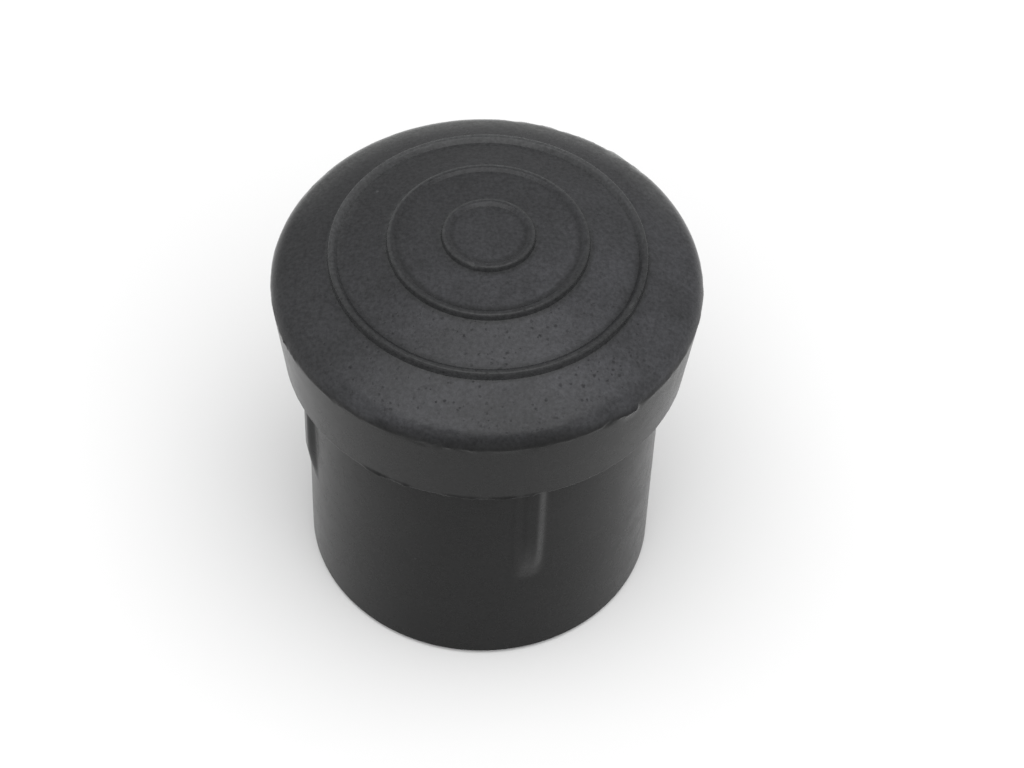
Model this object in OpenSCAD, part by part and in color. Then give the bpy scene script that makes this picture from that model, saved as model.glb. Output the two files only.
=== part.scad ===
// Rubber plug for the open end of a round tube.
// It stands on the open end of its hollow stem, with its stepped face up.
// The origin is at the centre of that open end, +Z out through the face.

/* [Head] */
// Diameter at the widest line of the head, the same as the outside of the tube
head_d = 30; // [28.8:0.1:34]
// Height of that widest line, the mould's parting edge, above the underside
head_side_h = 6.35; // [4:0.05:12]
// Draft of the head's side below that edge, in degrees
head_draft = 6.5; // [0:0.5:7]
// Radius that rounds the face over towards that edge
rim_round = 1.8; // [0.5:0.1:2.6]
// Slope at which the rounding ends on that edge, in degrees
rim_end_slope = 80; // [60:1:90]
// Radius of the underside's outer edge
foot_fillet = 0.15; // [0.05:0.05:0.3]

/* [Stepped face] */
// Outer diameter of the inner ring
ring_1_d = 6.5; // [5:0.1:8]
// Outer diameter of the middle ring
ring_2_d = 14; // [12:0.1:16]
// Outer diameter of the outer ring
ring_3_d = 22.1; // [19:0.1:23]
// Slope of the land outside the inner ring, in degrees
land_1_slope = 6; // [0:0.5:12]
// Slope of the land outside the middle ring, in degrees
land_2_slope = 17; // [8:0.5:22]
// Slope of the land outside the outer ring, in degrees
land_3_slope = 22; // [15:0.5:30]
// Width of each ring's raised lip across its crown
lip_w = 0.46; // [0.4:0.02:0.7]
// Height of the inner and middle rings' lips above what lies inside them
lip_h = 0.18; // [0.1:0.02:0.3]
// Height of the outer ring's lip above the land inside it
lip_3_h = 0.28; // [0.14:0.02:0.4]
// How far a lip's inner flank leans in from its crown to the land
lip_lean = 0.15; // [0:0.01:0.2]
// Height of the inner ring's outer step
step_1_h = 0.42; // [0.3:0.02:0.8]
// Height of the middle ring's outer step
step_2_h = 0.48; // [0.36:0.02:0.8]
// Height of the outer ring's outer step
step_3_h = 0.6; // [0.4:0.02:0.9]
// How far each step leans out from its lip to its foot
step_lean = 0.08; // [0:0.01:0.15]
// Radius of the lip's outer edge
lip_round = 0.2; // [0.05:0.01:0.24]
// Radius of the lip's inner edge
lip_inner_round = 0.12; // [0.04:0.01:0.14]

/* [Stem] */
// Diameter of the plain pilot that enters the tube first
stem_d = 25.4; // [24:0.1:26]
// Length of the stem, from its open end to the underside of the head
stem_h = 21.1; // [17:0.1:30]
// Mould draft of the ribbed stretch, in degrees
stem_draft = 0.4; // [0:0.1:0.8]
// Chamfer on the outer edge of the open end
lead_in = 0.4; // [0.2:0.05:1]

/* [Hollow] */
// Diameter of the blind hollow in the stem
hollow_d = 18; // [14:0.1:20]
// Depth of the hollow from the open end
hollow_h = 20; // [10:0.1:22]
// Radius of the hollow's inner end
hollow_fillet = 2; // [0.5:0.1:3]

/* [Ribs] */
// Number of ribs that grip the bore of the tube
rib_count = 4; // [3:1:8]
// Length of each rib, down from the underside of the head
rib_h = 12.3; // [6:0.1:14]
// How far a rib stands proud of the stem
rib_proud = 0.5; // [0.3:0.05:0.8]
// Width of a rib at its root
rib_root_w = 1.75; // [1.2:0.05:3]
// Width of a rib's flat crest
rib_crest_w = 1.2; // [0.6:0.05:1.6]
// Length of the ramp on which a rib's crest runs out at its lower end
rib_ramp_h = 2; // [0.5:0.1:4]
// Turn of the first rib from the front, in degrees
rib_turn = 16; // [0:0.5:90]

/* [Hidden] */
$fn = 96;
// Chords along each rounded corner of the section, and along the rim
corner_steps = 3;
rim_steps = 8;
// How far a rib is rooted below the stem's surface
rib_root = 0.6;
// Overlap that keeps joined and cut shapes clean
eps = 0.2;
stem_r = stem_d / 2;
hollow_r = hollow_d / 2;
head_r = head_d / 2;
rim_z = stem_h + head_side_h;
// The pilot is the plain stretch between the lead-in and the ribs
pilot_top = stem_h - rib_h;
shoulder_r = stem_r + rib_h * tan(stem_draft);
head_foot_r = head_r - head_side_h * tan(head_draft);
// Centre of the rounding, and where it ends on the outer land
rim_mid_r = head_r - rim_round * sin(rim_end_slope);
rim_mid_z = rim_z - rim_round * cos(rim_end_slope);
land_end_r = rim_mid_r + rim_round * sin(land_3_slope);
land_end_z = rim_mid_z + rim_round * cos(land_3_slope);

// Feet of the rings and the heights of their lips, worked up from the rim
ring_r = [ring_1_d / 2, ring_2_d / 2, ring_3_d / 2];
foot_z3 = land_end_z + (land_end_r - ring_r[2]) * tan(land_3_slope);
lip_z3 = foot_z3 + step_3_h;
foot_z2 = lip_z3 - lip_3_h + land_run(ring_r[2], ring_r[1]) * tan(land_2_slope);
lip_z2 = foot_z2 + step_2_h;
foot_z1 = lip_z2 - lip_h + land_run(ring_r[1], ring_r[0]) * tan(land_1_slope);
lip_z1 = foot_z1 + step_1_h;
top_z = lip_z1 - lip_h;

// Width of the land between the inner flank of one ring and the foot of the next
function land_run(outer, inner) = outer - step_lean - lip_w - lip_lean - inner;

// Corners of one ring's step and lip, from its foot inwards: [r, z, fillet]
function ring_corners(r, foot_z, lip_z, inner_h) = [
    [r, foot_z, 0],
    [r - step_lean, lip_z, lip_round],
    [r - step_lean - lip_w, lip_z, lip_inner_round],
    [r - step_lean - lip_w - lip_lean, lip_z - inner_h, 0]
];

// Points of the rounded rim, from the parting edge up to the outer land
function rim_arc() = [
    for (i = [0:rim_steps])
        let (slope = rim_end_slope - i * (rim_end_slope - land_3_slope) / rim_steps)
        [rim_mid_r + rim_round * sin(slope), rim_mid_z + rim_round * cos(slope), 0]
];

// Points of a corner b between a and c, rounded to a fillet where it has one
function unit(v) = v / norm(v);
function corner_points(a, b, c) =
    b[2] == 0 ? [[b[0], b[1]]] :
    let (
        p = [b[0], b[1]],
        u = unit([a[0], a[1]] - p),
        v = unit([c[0], c[1]] - p),
        half = acos(u * v) / 2,
        mid = p + unit(u + v) * b[2] / sin(half),
        from = p + u * b[2] / tan(half) - mid,
        to = p + v * b[2] / tan(half) - mid,
        sweep = 180 - 2 * half
    )
    [for (i = [0:corner_steps])
        let (t = i / corner_steps)
        mid + (from * sin(sweep * (1 - t)) + to * sin(sweep * t)) / sin(sweep)];

function rounded(corners) = [
    for (i = [0:len(corners) - 1])
        each corner_points(
            corners[(i + len(corners) - 1) % len(corners)],
            corners[i],
            corners[(i + 1) % len(corners)])
];

// Half section of the plug on its axis
module section() {
    polygon(rounded(concat(
        [
            [0, hollow_h, 0],
            [hollow_r, hollow_h, hollow_fillet],
            [hollow_r, 0, 0],
            [stem_r - lead_in, 0, 0],
            [stem_r, lead_in, 0],
            [stem_r, pilot_top, 0],
            [shoulder_r, stem_h, 0],
            [head_foot_r, stem_h, foot_fillet]
        ],
        rim_arc(),
        ring_corners(ring_r[2], foot_z3, lip_z3, lip_3_h),
        ring_corners(ring_r[1], foot_z2, lip_z2, lip_h),
        ring_corners(ring_r[0], foot_z1, lip_z1, lip_h),
        [[0, top_z, 0]]
    )));
}

// One rib at the front: a drafted bar with a full-round end, whose crest runs
// out down a ramp at that end
module rib() {
    root_r = stem_r - rib_root;
    crest_r = stem_r + rib_proud;
    slope = (rib_root_w - rib_crest_w) / 2 / rib_proud;
    deep_w = rib_root_w + 2 * slope * rib_root;
    round_z = pilot_top + rib_root_w / 2;
    intersection() {
        union() {
            translate([0, 0, round_z])
                linear_extrude(height = stem_h + eps - round_z)
                    polygon([
                        [-deep_w / 2, -root_r],
                        [-rib_crest_w / 2, -crest_r],
                        [rib_crest_w / 2, -crest_r],
                        [deep_w / 2, -root_r]
                    ]);
            translate([0, -root_r, round_z])
                rotate([90, 0, 0])
                    cylinder(h = crest_r - root_r, d1 = deep_w, d2 = rib_crest_w);
        }
        // Side view of the rib, with the ramp
        rotate([90, 0, -90])
            linear_extrude(height = 2 * deep_w, center = true)
                polygon([
                    [root_r - eps, pilot_top - rib_root],
                    [stem_r, pilot_top],
                    [crest_r, pilot_top + rib_ramp_h],
                    [crest_r + eps, pilot_top + rib_ramp_h],
                    [crest_r + eps, stem_h + 2 * eps],
                    [root_r - eps, stem_h + 2 * eps]
                ]);
    }
}

module plug() color([0.19, 0.195, 0.2]) union() {
    rotate_extrude() section();
    for (i = [0:rib_count - 1])
        rotate([0, 0, rib_turn + i * 360 / rib_count]) rib();
}

plug();
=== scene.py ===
import math

import bpy
from mathutils import Matrix, Vector


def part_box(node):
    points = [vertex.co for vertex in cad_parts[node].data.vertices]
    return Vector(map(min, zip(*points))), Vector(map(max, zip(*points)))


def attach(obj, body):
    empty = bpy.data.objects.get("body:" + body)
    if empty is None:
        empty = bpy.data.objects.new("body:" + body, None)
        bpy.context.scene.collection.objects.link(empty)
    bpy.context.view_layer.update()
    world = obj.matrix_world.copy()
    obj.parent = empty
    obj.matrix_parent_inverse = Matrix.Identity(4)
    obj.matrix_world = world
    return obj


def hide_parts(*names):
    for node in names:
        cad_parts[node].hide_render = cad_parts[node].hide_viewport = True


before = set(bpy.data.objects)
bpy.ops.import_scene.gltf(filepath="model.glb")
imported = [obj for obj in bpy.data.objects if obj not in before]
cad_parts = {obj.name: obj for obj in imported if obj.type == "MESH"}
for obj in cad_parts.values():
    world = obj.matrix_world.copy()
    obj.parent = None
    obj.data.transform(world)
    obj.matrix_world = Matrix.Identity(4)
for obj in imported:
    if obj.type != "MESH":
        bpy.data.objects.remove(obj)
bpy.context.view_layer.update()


# The camera: a long lens that looks steeply down on the standing plug. It aims at the middle of
# the plug's head, a little off the middle of the frame, and has a slight roll.
MM = 0.001
picture_w, picture_h = 1024, 768
focal_px = 2918
sensor_w = 36.0
view_elevation = math.radians(48.85)
view_roll = math.radians(-1.83)
view_distance = 202 * MM
aim_px = (487.4, 275.3)
aim = Vector((0, 0, 27.9 * MM))
eye = aim + view_distance * Vector((0, -math.cos(view_elevation), math.sin(view_elevation)))
sight = (aim - eye).normalized()
right = Vector((1, 0, 0))
up = right.cross(sight)
line_of_sight = sight.copy()


def turned(vector, axis, angle):
    """The vector turned about a unit axis."""
    side = axis.cross(vector)
    along = axis * axis.dot(vector)
    return vector * math.cos(angle) + side * math.sin(angle) + along * (1 - math.cos(angle))


yaw = math.atan((aim_px[0] - picture_w / 2) / focal_px)
pitch = math.atan((aim_px[1] - picture_h / 2) / focal_px * math.cos(yaw))
sight, right = (turned(v, up, yaw) for v in (sight, right))
sight, up = (turned(v, right, pitch) for v in (sight, up))
sight, right, up = (turned(v, line_of_sight, view_roll) for v in (sight, right, up))

lens = bpy.data.cameras.new("camera")
lens.sensor_width = sensor_w
lens.lens = focal_px / picture_w * sensor_w
lens.clip_start = 10 * MM
lens.clip_end = 20
camera = bpy.data.objects.new("camera", lens)
camera.matrix_world = Matrix.Translation(eye) @ Matrix((right, up, -sight)).transposed().to_4x4()
bpy.context.scene.collection.objects.link(camera)
bpy.context.scene.camera = camera


# The plug: one black rubber moulding, pressed in a two-part mould that parts at the head's widest
# line. Head, stepped face, ribbed stem and blind hollow are one piece, with thin ragged flash on
# the parting edge and on the head's lower edge. It is pushed into the tube by hand.
plug_low, plug_high = (Vector(corner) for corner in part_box("plug"))
head_r = (plug_high.x - plug_low.x) / 2 / MM
stem_r = 12.7
stem_h = 21.1
rib_h = 12.3
pilot_top = stem_h - rib_h
shoulder_r = stem_r + rib_h * math.tan(math.radians(0.4))
lead_in = 0.4
hollow_r = 9.0
hollow_h = 20.0
hollow_fillet = 2.0
head_side_h = 6.35
head_foot_r = head_r - head_side_h * math.tan(math.radians(6.5))
foot_fillet = 0.15
edge_z = stem_h + head_side_h
rim_round = 1.8
rim_steps = 14
rim_end_slope = math.radians(80)
outer_slope = math.radians(22)
rings = [
    # outer radius, step height, lip height, slope of the land inside it in degrees
    (11.05, 0.60, 0.28, 17.0),
    (7.00, 0.48, 0.18, 6.0),
    (3.25, 0.42, 0.18, 0.0),
]
step_lean = 0.08
lip_w = 0.32
lip_lean = 0.29
lip_round = 0.17
lip_inner_round = 0.24
fillet_steps = 4
# Bands with closer rows: from below to above the ribs' feet, and beside the head's two edges
below_ribs, above_ribs = 0.2, 2.3
foot_band_h, edge_band_h = 0.7, 0.6


def section_corners():
    """Corners of the half section from the hollow out and up to the middle of the face.

    Each is (radius, height, fillet, spacing of the rows up to the next corner, name)."""
    corners = [
        (0, hollow_h, 0, 2.4, "hollow"),
        (hollow_r, hollow_h, hollow_fillet, 4.5, "hollow"),
        (hollow_r, 0, 0, 1.7, "end"),
        (stem_r - lead_in, 0, 0, 0.3, "end"),
        (stem_r, lead_in, 0, 2.1, "stem"),
        (stem_r, pilot_top - below_ribs, 0, 0.15, "stem"),
        (stem_r, pilot_top + above_ribs, 0, 1.7, "stem"),
        (shoulder_r, stem_h, 0, 0.5, "underside"),
        (head_foot_r, stem_h, foot_fillet, 0.09, "foot"),
    ]
    side = Vector((head_r - head_foot_r, head_side_h)).normalized()
    corners.append((head_foot_r + foot_band_h * side.x, stem_h + foot_band_h * side.y,
                    0, 0.55, "side"))
    corners.append((head_r - edge_band_h * side.x, edge_z - edge_band_h * side.y,
                    0, 0.11, "side"))
    corners.append((head_r, edge_z, 0, 0.13, "edge"))
    middle_r = head_r - rim_round * math.sin(rim_end_slope)
    middle_z = edge_z - rim_round * math.cos(rim_end_slope)
    for step in range(1, rim_steps + 1):
        slope = rim_end_slope + (outer_slope - rim_end_slope) * step / rim_steps
        corners.append((middle_r + rim_round * math.sin(slope),
                        middle_z + rim_round * math.cos(slope), 0, 0.24, "rim"))
    foot_r, foot_z, land_slope = corners[-1][0], corners[-1][1], outer_slope
    for ring_r, step_h, lip_h, inner_slope in rings:
        foot_z += (foot_r - ring_r) * math.tan(land_slope)
        corners.append((ring_r, foot_z, 0, 0.15, "step"))
        foot_z += step_h
        foot_r = ring_r - step_lean
        corners.append((foot_r, foot_z, lip_round, 0.2, "lip"))
        foot_r -= lip_w
        corners.append((foot_r, foot_z, lip_inner_round, 0.12, "lip"))
        foot_r -= lip_lean
        foot_z -= lip_h
        corners.append((foot_r, foot_z, 0, 0.36, "land"))
        land_slope = math.radians(inner_slope)
    corners.append((0, foot_z, 0, 0.36, "land"))
    return corners


def rounded_section(corners):
    """Points (r, z, name) along the section, with rounded corners and evenly spaced rows."""
    outline = []
    for index, (r, z, fillet, spacing, name) in enumerate(corners):
        here = Vector((r, z))
        if fillet == 0:
            outline.append((here, spacing, name))
            continue
        before = (Vector(corners[index - 1][:2]) - here).normalized()
        after = (Vector(corners[index + 1][:2]) - here).normalized()
        half = before.angle(after) / 2
        middle = here + (before + after).normalized() * fillet / math.sin(half)
        start = here + before * fillet / math.tan(half) - middle
        stop = here + after * fillet / math.tan(half) - middle
        sweep = math.pi - 2 * half
        for step in range(fillet_steps + 1):
            share = step / fillet_steps
            point = start * math.sin(sweep * (1 - share)) + stop * math.sin(sweep * share)
            outline.append((middle + point / math.sin(sweep), spacing, name))
    points = []
    for (here, spacing, name), (ahead, _, _) in zip(outline, outline[1:]):
        count = max(1, round((ahead - here).length / spacing))
        for step in range(count):
            point = here.lerp(ahead, step / count)
            points.append((point.x, point.y, name))
    points.append((outline[-1][0].x, outline[-1][0].y, outline[-1][2]))
    return points


rib_count = 4
rib_turn = math.radians(16)
rib_proud = 0.5
rib_root_w = 2.5
rib_crest_w = 0.65
rib_ramp_h = 4.4
coarse_turn = math.radians(0.85)
fine_turn = math.radians(0.45)
fine_half = math.radians(5.0)


def column_angles():
    """Angles of the mesh's columns, close together at each rib and wider between ribs."""
    pitch_angle = 2 * math.pi / rib_count
    fine = round(2 * fine_half / fine_turn)
    coarse = round((pitch_angle - 2 * fine_half) / coarse_turn)
    angles = []
    for rib in range(rib_count):
        start = rib_turn + rib * pitch_angle - fine_half
        angles += [start + 2 * fine_half * step / fine for step in range(fine)]
        start += 2 * fine_half
        width = pitch_angle - 2 * fine_half
        angles += [start + width * step / coarse for step in range(coarse)]
    return angles


def closeness(points, spots, reach):
    """How near each section point is to the nearest spot: 1 on it, 0 beyond the reach."""
    near = []
    for point in points:
        gap = min((Vector(point[:2]) - Vector(spot[:2])).length for spot in spots)
        near.append(max(0.0, 1 - gap / reach))
    return near


def revolve(name, points, angles, attributes):
    """A closed mesh of the section turned about the axis, with one vertex at each pole."""
    verts = [(0, 0, points[0][1] * MM)]
    row_of = [0]
    for row, (r, z, _) in enumerate(points[1:-1], start=1):
        for angle in angles:
            verts.append((r * MM * math.sin(angle), -r * MM * math.cos(angle), z * MM))
            row_of.append(row)
    verts.append((0, 0, points[-1][1] * MM))
    row_of.append(len(points) - 1)
    around = len(angles)
    faces = []
    for column in range(around):
        beside = (column + 1) % around
        faces.append((0, 1 + beside, 1 + column))
        last = 1 + (len(points) - 3) * around
        faces.append((last + column, last + beside, len(verts) - 1))
        for row in range(len(points) - 3):
            low = 1 + row * around
            high = low + around
            faces.append((low + column, low + beside, high + beside, high + column))
    mesh = bpy.data.meshes.new(name)
    mesh.from_pydata(verts, [], faces)
    for attribute, values in attributes.items():
        layer = mesh.attributes.new(attribute, "FLOAT", "POINT")
        layer.data.foreach_set("value", [values[row] for row in row_of])
    return mesh


step_top_w = 1.4 * lip_round


def in_step(point):
    """Whether a section point lies on the upright wall of a ring's step or its rounded top."""
    r, _, name = point
    return name == "step" or name == "lip" and any(
        ring_r - step_lean - step_top_w < r for ring_r, *_ in rings if r < ring_r)


section = rounded_section(section_corners())


def named(name):
    """The section's points on one of its parts."""
    return [point for point in section if point[2] == name]


# The parting edge, the middle of the rounding at the head's foot and at the rim, and the creases
edge_spots = named("edge")[:1]
foot_spots = named("foot")[fillet_steps // 2:][:1]
round_spots = named("rim")[rim_steps // 2 - 1:][:2]
crease_spots = [p for i, p in enumerate(section) if i and (section[i - 1][2], p[2]) in (
    ("lip", "land"), ("land", "step"), ("rim", "step"))]
stem_top = section.index(named("underside")[0])
plug_mesh = revolve("plug_rubber", section, column_angles(), {
    "on_stem": [1.0 if p[2] == "stem" or i == stem_top else 0.0 for i, p in enumerate(section)],
    "near_edge": closeness(section, edge_spots, reach=0.55),
    "near_foot": closeness(section, foot_spots, reach=0.3),
    "near_lip": closeness(section, named("lip"), reach=0.5),
    "near_round": closeness(section, round_spots, reach=0.6),
    "at_edges": closeness(section, edge_spots + foot_spots, reach=1.0),
    "on_rim": closeness(section, round_spots, reach=3.0),
    "in_crease": closeness(section, crease_spots, reach=0.26),
    "on_step": [1.0 if in_step(p) else 0.0 for p in section],
})
plug = bpy.data.objects.new("plug_rubber", plug_mesh)
bpy.context.scene.collection.objects.link(plug)


def tree_tools(tree, interpolation="LINEAR"):
    """Four ways to add to a node tree: fill a socket, calculate, multiply, and ramp a value."""
    def feed(socket, value):
        if isinstance(value, bpy.types.NodeSocket):
            tree.links.new(value, socket)
        else:
            socket.default_value = value

    def calc(operation, *values):
        node = tree.nodes.new("ShaderNodeMath")
        node.operation = operation
        for socket, value in zip(node.inputs, values):
            feed(socket, value)
        return node.outputs[0]

    def product(first, *others):
        for other in others:
            first = calc("MULTIPLY", first, other)
        return first

    def ramp(value, low, high, to_low=0.0, to_high=1.0):
        node = tree.nodes.new("ShaderNodeMapRange")
        node.interpolation_type = interpolation
        for socket, number in zip(node.inputs, (value, low, high, to_low, to_high)):
            feed(socket, number)
        return node.outputs[0]

    return feed, calc, product, ramp


# Where the flash is ragged along an edge: turn from the front and half width, both in degrees
ragged_edge = [(-9, 13), (39, 9), (150, 22), (-121, 9), (-40, 5), (-62, 6)]
ragged_foot = [(-27, 9), (3, 16)]
ragged_round = [(148, 24), (-122, 7), (172, 8), (-11, 6)]
# How much of it is left everywhere else along the edge, the foot and the rounding
edge_rest, foot_rest, round_rest = 0.25, 0.12, 0.12
tab_half_turn = math.radians(2.8)
# Dents in the lips: distance from the axis, turn in degrees, half width and depth
lip_dents = [(11.0, 63, 0.75, 0.2), (3.15, -18, 0.5, 0.12), (6.9, -60, 0.4, 0.08)]


def plug_moulding_tree():
    """Geometry Nodes that raise the ribs and the ragged flash on the turned blank."""
    tree = bpy.data.node_groups.new("plug_moulding", "GeometryNodeTree")
    interface = tree.interface
    interface.new_socket("Blank", in_out="INPUT", socket_type="NodeSocketGeometry")
    for name in (
        "Rib Count", "Rib Turn", "Rib Foot Height", "Rib Crest Radius", "Rib Root Width",
        "Rib Crest Width", "Rib Ramp Height", "Stem Radius", "Flash Size", "Flash Seed",
        "Tab Turn", "Tab Size", "Waviness",
    ):
        interface.new_socket(name, in_out="INPUT", socket_type="NodeSocketFloat")
    interface.new_socket("Rubber", in_out="INPUT", socket_type="NodeSocketMaterial")
    interface.new_socket("Moulding", in_out="OUTPUT", socket_type="NodeSocketGeometry")
    given = tree.nodes.new("NodeGroupInput").outputs
    link = tree.links.new
    feed, calc, product, ramp = tree_tools(tree, "SMOOTHSTEP")

    def attribute(name):
        node = tree.nodes.new("GeometryNodeInputNamedAttribute")
        node.data_type = "FLOAT"
        node.inputs["Name"].default_value = name
        return node.outputs["Attribute"]

    def noise(scale, detail, seed):
        node = tree.nodes.new("ShaderNodeTexNoise")
        node.noise_dimensions = "4D"
        link(place, node.inputs["Vector"])
        feed(node.inputs["W"], seed)
        node.inputs["Scale"].default_value = scale
        node.inputs["Detail"].default_value = detail
        return calc("SUBTRACT", node.outputs[0], 0.5)

    def turned_from(turn):
        return calc("ABSOLUTE", calc("WRAP", calc("SUBTRACT", angle, turn), math.pi, -math.pi))

    def patches(spots, rest):
        total = rest
        for turn, half_width in spots:
            reach = math.radians(half_width)
            total = calc("MAXIMUM", total,
                         ramp(turned_from(math.radians(turn)), reach, 0.6 * reach))
        return total

    place = tree.nodes.new("GeometryNodeInputPosition").outputs[0]
    split = tree.nodes.new("ShaderNodeSeparateXYZ")
    link(place, split.inputs[0])
    x, y, z = split.outputs
    angle = calc("ARCTAN2", x, product(y, -1.0))
    radius = calc("SQRT", calc("ADD", product(x, x), product(y, y)))

    # Ribs: the distance from the middle line of the nearest rib, round below its foot
    share = calc("DIVIDE", 2 * math.pi, given["Rib Count"])
    half_share = product(share, 0.5)
    from_rib = calc("WRAP", calc("SUBTRACT", angle, given["Rib Turn"]), half_share,
                    product(half_share, -1.0))
    across = product(from_rib, given["Stem Radius"])
    foot_z = given["Rib Foot Height"]
    half_root = product(given["Rib Root Width"], 0.5)
    below = calc("MINIMUM", calc("SUBTRACT", z, calc("ADD", foot_z, half_root)), 0.0)
    off_line = calc("SQRT", calc("ADD", product(across, across), product(below, below)))
    rise = ramp(off_line, half_root, product(given["Rib Crest Width"], 0.5))
    climb = calc("DIVIDE", calc("SUBTRACT", z, foot_z), given["Rib Ramp Height"])
    rib_push = product(rise, ramp(climb, 0.0, 1.0), attribute("on_stem"),
                       calc("SUBTRACT", given["Rib Crest Radius"], radius))

    # Flash: a ragged fringe that comes and goes along the two edges, a chewed rounding, and one
    # torn tab. The whole plug is a little wavy too
    seed = given["Flash Seed"]
    size = given["Flash Size"]
    edge = calc("POWER", attribute("near_edge"), 2.0)
    foot = calc("POWER", attribute("near_foot"), 1.5)
    coarse = noise(scale=900.0, detail=2.0, seed=seed)
    fine = noise(scale=2600.0, detail=2.0, seed=calc("ADD", seed, 5.0))
    ragged = calc("ADD", coarse, product(fine, 0.6))
    edge_push = product(ragged, patches(ragged_edge, edge_rest), edge)
    foot_push = product(calc("ADD", ragged, 0.15), patches(ragged_foot, foot_rest), foot)
    round_push = product(calc("SUBTRACT", ragged, 0.1), patches(ragged_round, round_rest),
                         attribute("near_round"), 0.8)
    fringe_push = product(calc("ADD", calc("ADD", edge_push, foot_push), round_push), size)
    from_tab = calc("DIVIDE", turned_from(given["Tab Turn"]), tab_half_turn)
    tab_push = product(ramp(from_tab, 1.0, 0.55), calc("POWER", attribute("near_edge"), 0.8),
                       given["Tab Size"])
    wave_push = product(noise(scale=90.0, detail=1.0, seed=3.0), given["Waviness"])
    push = calc("ADD", calc("ADD", rib_push, fringe_push), calc("ADD", wave_push, tab_push))

    # Lift: the same edges wander up and down, the tab curls up, and the lips have a few dents
    wander = product(noise(scale=700.0, detail=2.0, seed=calc("ADD", seed, 2.0)), size,
                     calc("MAXIMUM", edge, foot))
    lift = calc("ADD", wander, product(tab_push, 0.5))
    for dent_r, turn, half_width, depth in lip_dents:
        off_x = calc("SUBTRACT", x, dent_r * math.sin(math.radians(turn)) * MM)
        off_y = calc("SUBTRACT", y, -dent_r * math.cos(math.radians(turn)) * MM)
        off = calc("SQRT", calc("ADD", product(off_x, off_x), product(off_y, off_y)))
        dent = product(ramp(off, half_width * MM, 0.0), attribute("near_lip"), depth * MM)
        lift = calc("SUBTRACT", lift, dent)

    outward = tree.nodes.new("ShaderNodeCombineXYZ")
    safe_radius = calc("MAXIMUM", radius, 0.1 * MM)
    link(calc("DIVIDE", product(x, push), safe_radius), outward.inputs[0])
    link(calc("DIVIDE", product(y, push), safe_radius), outward.inputs[1])
    link(lift, outward.inputs[2])
    mover = tree.nodes.new("GeometryNodeSetPosition")
    link(given["Blank"], mover.inputs["Geometry"])
    link(outward.outputs[0], mover.inputs["Offset"])
    whole = tree.nodes.new("GeometryNodeRealizeInstances")
    link(mover.outputs[0], whole.inputs[0])
    dress = tree.nodes.new("GeometryNodeSetMaterial")
    link(whole.outputs[0], dress.inputs["Geometry"])
    link(given["Rubber"], dress.inputs["Material"])
    link(dress.outputs[0], tree.nodes.new("NodeGroupOutput").inputs[0])
    return tree


# Colours of the rubber, bare and under its bloom, of what lies on it or is worn into it, and of
# the shade and light painted on it
bare_side, bloomed_side = (0.0072, 0.0073, 0.0073), (0.0102, 0.0103, 0.0104)
# The face is paler than the side partly from its bloom and partly as painted sheen from the light
# above
bare_face_and_sheen, bloomed_face_and_sheen = (0.0256, 0.0259, 0.0269), (0.0450, 0.0454, 0.0492)
dark_patch = (0.0045, 0.0046, 0.0047)
# Painted shade and light: the lips' and steps' walls are darker at the front and paler with dust
# and light at the back, the creases are shaded, and the rim's back has dust with a painted glare
# and two painted glints
shaded_lip, lip_dust_and_light = (0.016, 0.0162, 0.0165), (0.062, 0.063, 0.064)
shaded_step, step_dust_and_light = (0.0290, 0.0294, 0.0302), (0.050, 0.051, 0.052)
crease_shade = (0.010, 0.0102, 0.0104)
rim_dust_and_glare = (0.190, 0.192, 0.188)
painted_glint = (0.240, 0.243, 0.240)
pit_black = (0.003, 0.003, 0.0031)
dust_grey = (0.075, 0.076, 0.078)
# Heights between which the look changes from the side's to the face's
face_from_z, face_full_z = edge_z - 0.05, edge_z + 1.75
# The face's grey fades out above the parting edge, over more of the rounding at the very front,
# which paints shade on the front of the rim
fade_back_h, fade_front_h = 0.5, 1.9
fade_back_y, fade_front_y = -12.8, -14.9
# Squares of the distances from the axis between which the outer lip is told from the others
inner_lips_sq, outer_lip_sq = 64.0, 90.0
# Two places at the back right with a painted glint
glint_spots = [(8.9, 11.6), (10.7, 10.1)]
glint_half_w = 1.0


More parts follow.
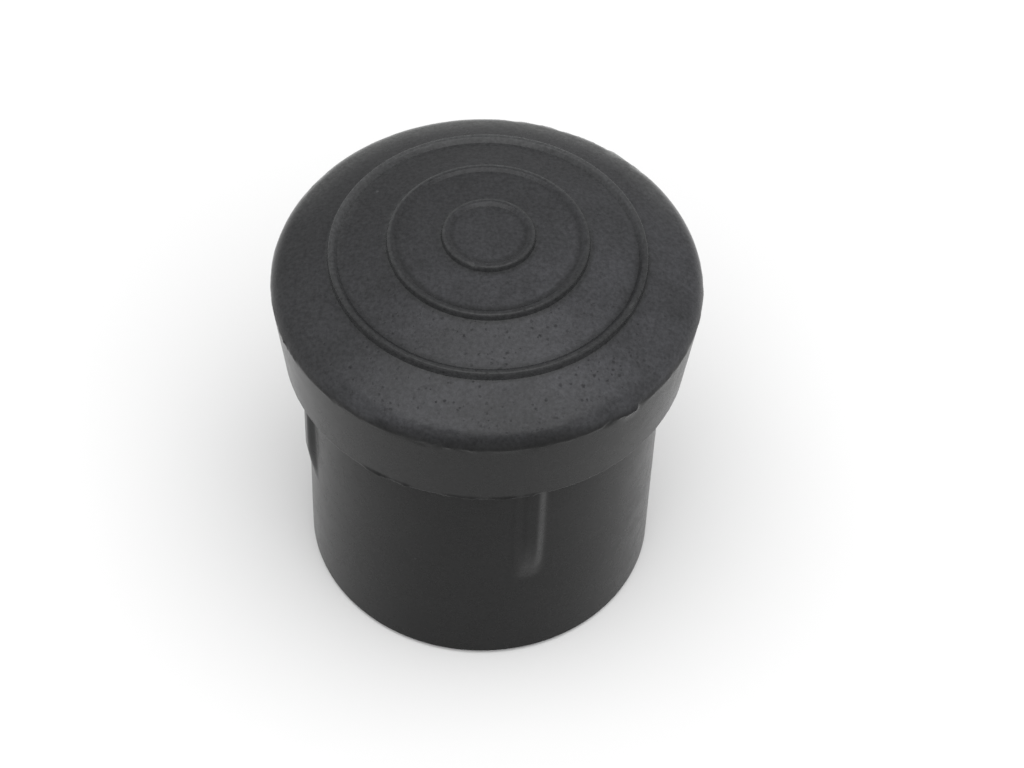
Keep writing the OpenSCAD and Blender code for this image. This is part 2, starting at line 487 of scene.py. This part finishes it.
def plug_rubber_material():
    """Matte black moulded rubber with a grey bloom, dust and fine dark pits, and painted shade,
    sheen and glints.
    """
    material = bpy.data.materials.new("black_moulded_rubber")
    material.use_nodes = True
    nodes, link = material.node_tree.nodes, material.node_tree.links.new
    feed, calc, product, ramp = tree_tools(material.node_tree)
    shader = nodes["Principled BSDF"]
    shader.inputs["Specular IOR Level"].default_value = 0.12
    place = nodes.new("ShaderNodeTexCoord").outputs["Object"]

    def noise(scale, detail, roughness=0.5):
        node = nodes.new("ShaderNodeTexNoise")
        link(place, node.inputs["Vector"])
        node.inputs["Scale"].default_value = scale
        node.inputs["Detail"].default_value = detail
        node.inputs["Roughness"].default_value = roughness
        return node.outputs[0]

    def mix(share, one, other, blend="MIX"):
        node = nodes.new("ShaderNodeMix")
        node.data_type = "RGBA"
        node.blend_type = blend
        feed(node.inputs[0], share)
        for socket, value in ((node.inputs[6], one), (node.inputs[7], other)):
            feed(socket, value if isinstance(value, bpy.types.NodeSocket) else (*value, 1.0))
        return node.outputs[2]

    def specks(scale, smallest, largest, share):
        """Small round spots: one in some of the cells, each of its own size."""
        cells = nodes.new("ShaderNodeTexVoronoi")
        link(bent_place, cells.inputs["Vector"])
        cells.inputs["Scale"].default_value = scale
        own = nodes.new("ShaderNodeSeparateColor")
        link(cells.outputs["Color"], own.inputs[0])
        reach = ramp(own.outputs[0], 0.0, 1.0, smallest, largest)
        spot = ramp(cells.outputs["Distance"], reach, product(reach, 0.45))
        return product(spot, calc("LESS_THAN", own.outputs[1], share))

    def attribute(name):
        node = nodes.new("ShaderNodeAttribute")
        node.attribute_name = name
        return node.outputs["Fac"]

    split = nodes.new("ShaderNodeSeparateXYZ")
    link(place, split.inputs[0])
    x, y, z = split.outputs

    # The spots' outlines are bent a little, so that none is truly round
    wobble = nodes.new("ShaderNodeTexNoise")
    link(place, wobble.inputs["Vector"])
    wobble.inputs["Scale"].default_value = 5200.0
    bend = nodes.new("ShaderNodeVectorMath")
    bend.operation = "MULTIPLY_ADD"
    link(wobble.outputs["Color"], bend.inputs[0])
    bend.inputs[1].default_value = (0.22 * MM,) * 3
    link(place, bend.inputs[2])
    bent_place = bend.outputs[0]

    on_face = ramp(z, face_from_z * MM, face_full_z * MM)
    to_front = ramp(y, 2 * MM, -8 * MM)
    to_back = ramp(calc("SUBTRACT", y, product(x, 0.25)), -4 * MM, 6 * MM)
    clouds = noise(170.0, 4.0, roughness=0.6)
    mottle = noise(900.0, 4.0, roughness=0.7)
    grain = noise(5200.0, 2.0, roughness=0.6)

    # Bloom: a pale film in clouds; its thickening at the front and the right is painted light
    toward_light = calc("SUBTRACT", product(x, 0.75), y)
    bloom_and_light = product(ramp(clouds, 0.34, 0.60, 0.25, 1.0), ramp(toward_light, -11 * MM, 10 * MM),
                    ramp(mottle, 0.3, 0.7, 0.62, 0.98))
    # The longer fade at the front leaves the side's darker colour on the front of the rounding:
    # painted shade
    fade_h = ramp(y, fade_back_y * MM, fade_front_y * MM, fade_back_h * MM, fade_front_h * MM)
    greyed = ramp(calc("DIVIDE", calc("SUBTRACT", z, edge_z * MM), fade_h), 0.0, 0.95)
    colour = mix(greyed, mix(bloom_and_light, bare_side, bloomed_side), mix(bloom_and_light, bare_face_and_sheen, bloomed_face_and_sheen))

    # Dark patches, faint except near the head's two edges
    patchy = ramp(noise(420.0, 3.0, roughness=0.6), 0.54, 0.70)
    colour = mix(product(patchy, ramp(attribute("at_edges"), 0.2, 0.8, 0.10, 0.5)), colour,
                 dark_patch)

    # The lips get painted shade at the front, and the outer one gets dust with painted light at
    # the back
    lips = attribute("near_lip")
    colour = mix(product(lips, ramp(to_back, 0.0, 0.6, 0.5, 0.0)), colour, shaded_lip)
    outside = ramp(calc("ADD", product(x, x), product(y, y)),
                   inner_lips_sq * MM ** 2, outer_lip_sq * MM ** 2)
    colour = mix(product(product(lips, outside), product(to_back, 0.55)), colour, lip_dust_and_light)

    # The creases get painted shade, most at the front and in the inner ones, and the steps' walls
    # get painted shade at the front and dust with painted light at the back
    crease_shade_share = product(ramp(outside, 0.0, 1.0, 0.46, 0.26), ramp(to_back, 0.0, 1.0, 1.0, 0.3))
    colour = mix(product(attribute("in_crease"), crease_shade_share), colour, crease_shade)
    colour = mix(product(attribute("on_step"), 0.85), colour,
                 mix(to_back, shaded_step, step_dust_and_light))

    # The rim at the back is paler, partly dust and partly a painted glare, and two painted glints
    # are brighter still
    rim = attribute("on_rim")
    dust_and_glare_share = product(rim, rim, ramp(y, 3 * MM, 12 * MM, 0.0, 0.8),
                     ramp(mottle, 0.25, 0.75, 0.5, 1.0))
    colour = mix(dust_and_glare_share, colour, rim_dust_and_glare)
    for glint_x, glint_y in glint_spots:
        off_x, off_y = calc("SUBTRACT", x, glint_x * MM), calc("SUBTRACT", y, glint_y * MM)
        off = calc("SQRT", calc("ADD", product(off_x, off_x), product(off_y, off_y)))
        shine = product(ramp(off, glint_half_w * MM, 0.1 * glint_half_w * MM), rim, 0.7)
        colour = mix(shine, colour, painted_glint)
    speckle = ramp(noise(3800.0, 3.0, roughness=0.7), 0.3, 0.7, 0.72, 1.28)
    colour = mix(1.0, colour, speckle, "MULTIPLY")

    # Pits, mostly on the front half of the face, and a few pale specks of dust
    pits = calc("MAXIMUM", specks(2500.0, 0.16, 0.40, share=0.60),
                specks(1300.0, 0.08, 0.20, share=0.30))
    pit_zone = product(ramp(noise(260.0, 2.0), 0.30, 0.54), on_face,
                       ramp(to_front, 0.0, 1.0, 0.25, 1.0))
    pits = product(pits, pit_zone)
    colour = mix(product(pits, 0.5), colour, pit_black)
    dust = specks(420.0, 0.02, 0.07, share=0.16)
    colour = mix(product(dust, 0.5), colour, dust_grey)
    link(colour, shader.inputs["Base Color"])

    # Gloss: duller where the bloom lies and in the pits
    gloss = calc("ADD", ramp(mottle, 0.3, 0.7, 0.21, 0.27), product(bloom_and_light, 0.06))
    gloss = calc("ADD", gloss, product(pits, 0.3))
    link(gloss, shader.inputs["Roughness"])

    # Relief: the mould's fine grain and soft dimples, both weaker on the side, and pits and dust
    height = product(grain, ramp(on_face, 0.0, 1.0, 0.08, 0.5))
    soft = product(mottle, ramp(on_face, 0.0, 1.0, 0.03, 0.32))
    height = calc("ADD", height, soft)
    height = calc("SUBTRACT", height, product(pits, 1.6))
    height = calc("ADD", height, product(dust, 0.8))
    bump = nodes.new("ShaderNodeBump")
    bump.inputs["Strength"].default_value = 0.5
    bump.inputs["Distance"].default_value = 0.02 * MM
    link(height, bump.inputs["Height"])
    link(bump.outputs["Normal"], shader.inputs["Normal"])
    return material


crisp_edge_angle = math.radians(40)
moulding = plug.modifiers.new("moulding", "NODES")
moulding.node_group = plug_moulding_tree()
moulding_values = {
    "Rib Count": float(rib_count),
    "Rib Turn": rib_turn,
    "Rib Foot Height": pilot_top * MM,
    "Rib Crest Radius": (stem_r + rib_proud) * MM,
    "Rib Root Width": rib_root_w * MM,
    "Rib Crest Width": rib_crest_w * MM,
    "Rib Ramp Height": rib_ramp_h * MM,
    "Stem Radius": stem_r * MM,
    "Flash Size": 0.45 * MM,
    "Flash Seed": 4.0,
    "Tab Turn": math.radians(41.5),
    "Tab Size": 0.17 * MM,
    "Waviness": 0.06 * MM,
    "Rubber": plug_rubber_material(),
}
for socket in moulding.node_group.interface.items_tree:
    if socket.in_out == "INPUT" and socket.name in moulding_values:
        moulding[socket.identifier] = moulding_values[socket.name]
evaluated = plug.evaluated_get(bpy.context.evaluated_depsgraph_get())
plain_mesh = bpy.data.meshes.new_from_object(evaluated)
plug.modifiers.remove(moulding)
plug.data = plain_mesh
for polygon in plug.data.polygons:
    polygon.use_smooth = True
plug.data.set_sharp_from_angle(angle=crisp_edge_angle)
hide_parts("plug")
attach(plug, "root")


# The floor: a plain white sheet of card that the plug stands on. It fills the view behind the
# plug too, and keeps the plug's soft shadow.
floor_half = 3.0
card_level = 0.72
floor_mesh = bpy.data.meshes.new("floor")
floor_mesh.from_pydata(
    [(-floor_half, -floor_half, 0), (floor_half, -floor_half, 0),
     (floor_half, floor_half, 0), (-floor_half, floor_half, 0)],
    [], [(0, 1, 2, 3)],
)
floor = bpy.data.objects.new("floor", floor_mesh)
bpy.context.scene.collection.objects.link(floor)
card = bpy.data.materials.new("white_card")
card.use_nodes = True
card_shader = card.node_tree.nodes["Principled BSDF"]
card_shader.inputs["Base Color"].default_value = (card_level, card_level, card_level, 1)
card_shader.inputs["Roughness"].default_value = 0.9
card_shader.inputs["Specular IOR Level"].default_value = 0.1
floor_mesh.materials.append(card)


# The light: a pale room that is darkest towards the front and a little darker towards the back
# than overhead, and one soft lamp above the plug, slightly to the front, at a plain level.
room = bpy.data.worlds.new("pale_room")
bpy.context.scene.world = room
room.use_nodes = True
room_nodes, room_link = room.node_tree.nodes, room.node_tree.links.new
_, _, room_product, room_ramp = tree_tools(room.node_tree)
directions = room_nodes.new("ShaderNodeSeparateXYZ")
room_link(room_nodes.new("ShaderNodeTexCoord").outputs["Generated"], directions.inputs[0])
front_to_back = directions.outputs[1]
room_level = room_product(room_ramp(front_to_back, -1.0, 0.0, 0.55, 0.88),
                          room_ramp(front_to_back, 0.1, 0.9, 1.0, 0.7))
room_nodes["Background"].inputs["Color"].default_value = (1, 1, 1, 1)
room_link(room_level, room_nodes["Background"].inputs["Strength"])
overhead = bpy.data.lights.new("overhead", "AREA")
overhead.size = 0.7
overhead.energy = 4.4
overhead_lamp = bpy.data.objects.new("overhead", overhead)
overhead_lamp.location = (0.03, -0.2, 0.61)
lamp_aim = Vector((0, 0, 0.02)) - overhead_lamp.location
overhead_lamp.rotation_euler = lamp_aim.to_track_quat("-Z", "Y").to_euler()
bpy.context.scene.collection.objects.link(overhead_lamp)

bpy.context.scene.view_settings.view_transform = "Standard"
